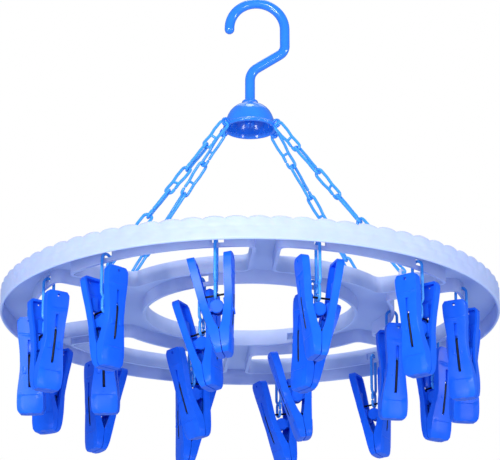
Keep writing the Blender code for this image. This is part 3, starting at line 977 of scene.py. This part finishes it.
def clip_shell(thickness):
    """The tray of a clip half on the +X side: its ridged outer face and its side walls, thickened inwards."""
    rows = face_rows()
    columns = len(COLUMN_SHARES)
    work = bmesh.new()
    grid = bmesh.ops.create_grid(work, x_segments=columns - 1, y_segments=len(rows) - 1, size=0.5)["verts"]
    for vert in grid:
        column = round((vert.co.x + 0.5) * (columns - 1))
        row = round((vert.co.y + 0.5) * (len(rows) - 1))
        height = rows[row]
        half = eased(HALF_WIDTH_MM, height) - corner_pull(height)
        share = COLUMN_SHARES[column]
        if share is None:
            across = -SLOT_HALF_MM if column < columns / 2 else SLOT_HALF_MM
            share = across / half
        else:
            across = share * half
        middle = 1.0 - smooth(0.72, 0.95, abs(share))
        off_ridge = (height - RIDGE_MM - RIDGE_BOW_MM * share * share) / RIDGE_REACH_MM
        ridge = RIDGE_HEIGHT_MM * exp(-off_ridge ** 2) * middle
        pad = PAD_HEIGHT_MM * smooth(PAD_TOP_MM, PAD_TOP_MM - PAD_STEP_MM, height)
        pad *= 1.0 - smooth(0.72, 0.93, abs(share))
        out = eased(OUTER_FACE_MM, height) - SKIN_INSET_MM + ridge + pad - CROWN_MM * share * share
        vert.co = Vector((out, across, height)) * MM
    gone = []
    for face in work.faces:
        centre = face.calc_center_median() / MM
        inside = abs(centre.y) < SLOT_HALF_MM * 0.9
        in_slot = inside and SLOT_END_MM < centre.z < SLOT_TOP_MM
        in_hole = inside and abs(centre.z - HOLE_MM) < HOLE_RADIUS_MM * 0.9
        if in_slot or in_hole:
            gone.append(face)
    bmesh.ops.delete(work, geom=gone, context="FACES_ONLY")
    rim = [
        edge for edge in work.edges
        if edge.is_boundary and all(abs(v.co.y) > NARROW_FACE_MM * MM or on_end(v.co.z) for v in edge.verts)
    ]
    found = bmesh.ops.extrude_edge_only(work, edges=rim)["geom"]
    for vert in ring_verts(found):
        vert.co.x = eased(INNER_EDGE_MM, vert.co.z / MM) * MM
    round_edges(work, [edge for edge in work.edges if is_sharp(edge)], 0.9 * MM, 3)
    bmesh.ops.recalc_face_normals(work, faces=work.faces)
    largest = max(work.faces, key=lambda f: f.calc_area())
    if largest.normal.xy.dot(largest.calc_center_median().xy) < 0:
        bmesh.ops.reverse_faces(work, faces=work.faces)
    return walled_mesh(plain_mesh(work), thickness)


def on_end(height):
    """Whether a height is at a clip half's top or bottom edge."""
    return abs(height / MM - HANDLE_TOP_MM) < 0.01 or abs(height / MM - JAW_END_MM) < 0.01


def jaw_block():
    """The solid jaw inside the tray, with biting ridges across its inner face."""
    low, high = JAW_END_MM + 0.9, JAW_TOP_MM
    cuts = 2 * JAW_TEETH
    work = bmesh.new()
    bmesh.ops.create_cube(work, size=1.0)
    uprights = [edge for edge in work.edges if abs(edge.verts[0].co.z - edge.verts[1].co.z) > 0.5]
    bmesh.ops.subdivide_edges(work, edges=uprights, cuts=cuts)
    for vert in work.verts:
        share = vert.co.z + 0.5
        height = low + (high - low) * share
        level = round(share * (cuts + 1))
        half = eased(HALF_WIDTH_MM, height) - 0.9
        near = 0.1 + (TOOTH_MM if level % 2 else 0.0)
        far = eased(OUTER_FACE_MM, height) - 1.6
        out = near if vert.co.x < 0 else far
        vert.co = Vector((out, (1 if vert.co.y > 0 else -1) * half, height)) * MM
    return finished_mesh(work)


def pivot_barrel():
    """The barrel that the moving half rocks on, lying across the clip."""
    work = bmesh.new()
    turned(work, [in_metres(point) for point in BARREL_MM], 32, closed=False)
    mesh = finished_mesh(work)
    mesh.transform(Matrix.Rotation(pi / 2, 4, "X"))
    return mesh


def half_mesh(kind, thickness):
    """A whole clip half: its tray, its jaw and its side of the pivot."""
    work = bmesh.new()

    def take(mesh):
        work.from_mesh(mesh)
        bpy.data.meshes.remove(mesh)

    take(clip_shell(thickness))
    take(jaw_block())
    soft_box(work, *map(in_metres, COVER_PLATE_MM), 0.3 * MM)
    if kind == "fixed":
        take(pivot_barrel())
    low, high = map(in_metres, RIB_MM if kind == "moving" else WEB_MM)
    for side in (-1.0, 1.0):
        low_y, high_y = sorted((side * low[1], side * high[1]))
        soft_box(work, (low[0], low_y, low[2]), (high[0], high_y, high[2]), 0.4 * MM)
    if kind == "fixed":
        bmesh.ops.rotate(work, matrix=Matrix.Rotation(pi, 3, "Z"), verts=work.verts)
    return shade(plain_mesh(work), 40.0)


def clip_place(number):
    """A clip's matrix at rest, from its joints: X is the way its moving half opens, Z runs up its handles."""
    squeeze = JOINTS["clip_%02d_squeeze" % number]
    pivot = Vector(squeeze["pos_m"])
    wire = hanging_hole(number) - Vector((0.0, 0.0, LINK_DROP))
    across = -Vector(squeeze["axis"]).normalized()
    up = (wire - pivot).normalized()
    out = across.cross(up).normalized()
    turn = Matrix((out, across, up)).transposed().to_4x4()
    return Matrix.Translation(pivot) @ turn


def add_to_clips(kind, mesh, slot, place_of):
    """A copy of a mesh on every clip's fixed half, placed by place_of."""
    for number in range(1, CLIP_COUNT + 1):
        piece = "clip_%02d_%s" % (number, kind)
        add_piece(piece, mesh.copy(), place_of(number), slot, "clip_%02d" % number)
    bpy.data.meshes.remove(mesh)


def hanging_place(number):
    """A clip's link as it hangs: in the middle of its hole, turned the way the clip is."""
    across = clip_place(number).col[1]
    turn = Matrix.Rotation(atan2(across.y, across.x), 4, "Z")
    return Matrix.Translation(hanging_hole(number)) @ turn


class HANGER_OT_clips(bpy.types.Operator):
    """Both halves of every clip: hollow handles with a slot, a ridge and a hole, solid jaws, and a pivot"""

    bl_idname = "hanger.build_clips"
    bl_label = "Build clips"

    def execute(self, context):
        thickness = context.scene.hanger_sizes.plate_thickness
        halves = {kind: half_mesh(kind, thickness) for kind in ("fixed", "moving")}
        bodies = {"fixed": "clip_%02d", "moving": "jaw_%02d"}
        for number in range(1, CLIP_COUNT + 1):
            place = clip_place(number)
            for kind, mesh in halves.items():
                piece = "clip_%02d_%s_handle" % (number, kind)
                replaced = "clip_%02d_%s_half" % (number, kind)
                add_piece(piece, mesh.copy(), place, "clip_plastic", bodies[kind] % number, replaced=replaced)
        for mesh in halves.values():
            bpy.data.meshes.remove(mesh)
        return {"FINISHED"}


class HANGER_OT_springs(bpy.types.Operator):
    """The spring of every clip: one ring of wire that lies in both slots and bridges the handles twice"""

    bl_idname = "hanger.build_springs"
    bl_label = "Build springs"

    def execute(self, context):
        wire = context.scene.hanger_sizes.spring_wire
        low = SLOT_END_MM * MM + 1.0 * MM
        high = WIRE_HEIGHT
        reach_high = eased(OUTER_FACE_MM, high / MM) * MM - SPRING_INSET
        reach_low = eased(OUTER_FACE_MM, low / MM) * MM - SPRING_INSET
        work = bmesh.new()
        corners = ((-reach_low, low), (reach_low, low), (reach_high, high), (-reach_high, high))
        bent_rod(work, corners, (SPRING_BEND,) * 4, wire / 2, 10, closed=True)
        add_to_clips("spring", finished_mesh(work), "spring_steel", clip_place)
        return {"FINISHED"}


class HANGER_OT_links(bpy.types.Operator):
    """The snap link of every clip: a long loop through the frame's slot and a small loop round the spring"""

    bl_idname = "hanger.build_links"
    bl_label = "Build snap links"

    def execute(self, context):
        sizes = context.scene.hanger_sizes
        wire = sizes.link_wire
        bottom = -LINK_DROP - (wire + sizes.spring_wire) / 2
        joint = bottom + LINK_JOINT
        wide, narrow = LONG_LOOP_HALF, SMALL_LOOP_HALF
        work = bmesh.new()
        long_loop = ((-wide, LINK_TOP), (wide, LINK_TOP), (wide, joint), (-wide, joint))
        bent_rod(work, long_loop, (wide, wide, wide * 0.9, wide * 0.9), wire / 2, 10, closed=True)
        gap_low, gap_high = bottom + LINK_GAP_LOW, bottom + LINK_GAP_HIGH
        small_loop = (
            (narrow, gap_high), (narrow, joint), (-narrow, joint), (-narrow, bottom), (narrow, bottom),
            (narrow, gap_low),
        )
        bent_rod(work, small_loop, (0.0, narrow, narrow, narrow, narrow, 0.0), wire / 2, 10)
        add_to_clips("snap_link", finished_mesh(work), "chain_plastic", hanging_place)
        return {"FINISHED"}


# Stage

FLOOR_Z = -2.2
FLOOR_HALF_WIDTH = 30.0

# The room lights the hanger with a blue like an open sky's, and the camera sees it white.
ROOM_BLUE = (0.40, 0.56, 1.0, 1.0)
ROOM_BLUE_STRENGTH = 0.54
ROOM_WHITE = (1.0, 1.0, 1.0, 1.0)

# Each soft box's name, place, width and height, and watts. They all face the middle of the frame.
LIT_POINT = (0.0, 0.0, -0.22)
SOFT_BOXES = (
    ("Key softbox", (-0.55, -1.9, -0.11), (1.0, 0.22), 24.0),
    ("Side softbox", (1.9, -0.9, -0.10), (0.8, 0.25), 9.0),
    ("Top softbox", (0.1, 0.5, 1.3), (1.2, 1.2), 5.0),
    ("Low left softbox", (-0.85, -1.05, -0.60), (0.22, 0.45), 4.0),
    ("Low right softbox", (0.75, -1.20, -0.62), (0.22, 0.45), 3.0),
)
OVERHEAD_STRENGTH = 0.5
OVERHEAD_SPREAD = radians(20.0)

# The camera stands in front of the hanger, a little to its left and well below it, and looks up.
CAMERA_DISTANCE = 1.4
CAMERA_BELOW_LIP = -0.4266
CAMERA_PITCH = radians(19.2)
CAMERA_AZIMUTH = radians(-4.24)
CAMERA_LENS = 163.8


def add_light(name, kind, power):
    """A lamp in the scene."""
    light = bpy.data.lights.new(name, kind)
    light.energy = power
    lamp = bpy.data.objects.new(name, light)
    bpy.context.scene.collection.objects.link(lamp)
    return lamp


def white_room():
    """The world, blue to the hanger and white to the camera."""
    world = bpy.data.worlds.new("White room")
    world.use_nodes = True
    tree = world.node_tree
    tree.nodes.clear()
    seen = add_node(tree, "ShaderNodeLightPath").outputs["Is Camera Ray"]
    mixed = add_node(tree, "ShaderNodeMixShader", inputs={"Fac": seen})
    for socket, colour, strength in ((1, ROOM_BLUE, ROOM_BLUE_STRENGTH), (2, ROOM_WHITE, 1.0)):
        look = add_node(tree, "ShaderNodeBackground", inputs={"Color": colour, "Strength": strength})
        tree.links.new(look.outputs["Background"], mixed.inputs[socket])
    add_node(tree, "ShaderNodeOutputWorld", inputs={"Surface": mixed.outputs["Shader"]})
    return world


class HANGER_OT_stage(bpy.types.Operator):
    """The pale floor, the white room, its lights and the camera"""

    bl_idname = "hanger.build_stage"
    bl_label = "Build stage"

    def execute(self, context):
        scene = context.scene
        scene.view_settings.view_transform = "Standard"
        work = bmesh.new()
        lower = Matrix.Translation((0.0, 0.0, FLOOR_Z))
        bmesh.ops.create_grid(work, x_segments=1, y_segments=1, size=FLOOR_HALF_WIDTH, matrix=lower)
        mesh = plain_mesh(work)
        mesh.materials.append(painted_floor(tuple(scene.hanger_colours.floor)))
        floor = bpy.data.objects.new("studio_floor", mesh)
        scene.collection.objects.link(floor)
        scene.world = white_room()
        for name, place, size, power in SOFT_BOXES:
            lamp = add_light(name, "AREA", power)
            lamp.data.shape = "RECTANGLE"
            lamp.data.size, lamp.data.size_y = size
            lamp.location = place
            lamp.rotation_euler = (Vector(LIT_POINT) - Vector(place)).to_track_quat("-Z", "Y").to_euler()
        overhead = add_light("Overhead lamp", "SUN", OVERHEAD_STRENGTH)
        overhead.data.angle = OVERHEAD_SPREAD
        camera = bpy.data.objects.new("camera", bpy.data.cameras.new("camera"))
        scene.collection.objects.link(camera)
        camera.data.sensor_width = 36.0
        camera.data.lens = CAMERA_LENS
        camera.location = round_place(CAMERA_AZIMUTH, CAMERA_DISTANCE, LIP_Z + CAMERA_BELOW_LIP)
        camera.rotation_euler = (pi / 2 + CAMERA_PITCH, 0.0, CAMERA_AZIMUTH)
        scene.camera = camera
        return {"FINISHED"}


class HANGER_PT_panel(bpy.types.Panel):
    """Lists the hanger's sizes and colours, and a button for each piece"""

    bl_idname = "HANGER_PT_panel"
    bl_label = "Clip drying hanger"
    bl_space_type = "VIEW_3D"
    bl_region_type = "UI"
    bl_category = "Hanger"

    def draw(self, context):
        for group in (context.scene.hanger_sizes, context.scene.hanger_colours):
            box_layout = self.layout.box()
            for name in group.bl_rna.properties.keys():
                if name not in ("rna_type", "name"):
                    box_layout.prop(group, name)
        for operator in OPERATORS:
            self.layout.operator(operator.bl_idname)


OPERATORS = (
    HANGER_OT_hook, HANGER_OT_cap, HANGER_OT_chains, HANGER_OT_frame,
    HANGER_OT_clips, HANGER_OT_springs, HANGER_OT_links, HANGER_OT_stage,
)
CLASSES = (HangerSizes, HangerColours, *OPERATORS, HANGER_PT_panel)


def register():
    for item in CLASSES:
        bpy.utils.register_class(item)
    bpy.types.Scene.hanger_sizes = bpy.props.PointerProperty(type=HangerSizes)
    bpy.types.Scene.hanger_colours = bpy.props.PointerProperty(type=HangerColours)


def unregister():
    del bpy.types.Scene.hanger_colours
    del bpy.types.Scene.hanger_sizes
    for item in reversed(CLASSES):
        bpy.utils.unregister_class(item)


def main():
    register()
    bpy.ops.hanger.build_hook()
    bpy.ops.hanger.build_cap()
    bpy.ops.hanger.build_chains()
    bpy.ops.hanger.build_frame()
    bpy.ops.hanger.build_clips()
    bpy.ops.hanger.build_springs()
    bpy.ops.hanger.build_links()
    bpy.ops.hanger.build_stage()


if __name__ == "__main__":
    main()
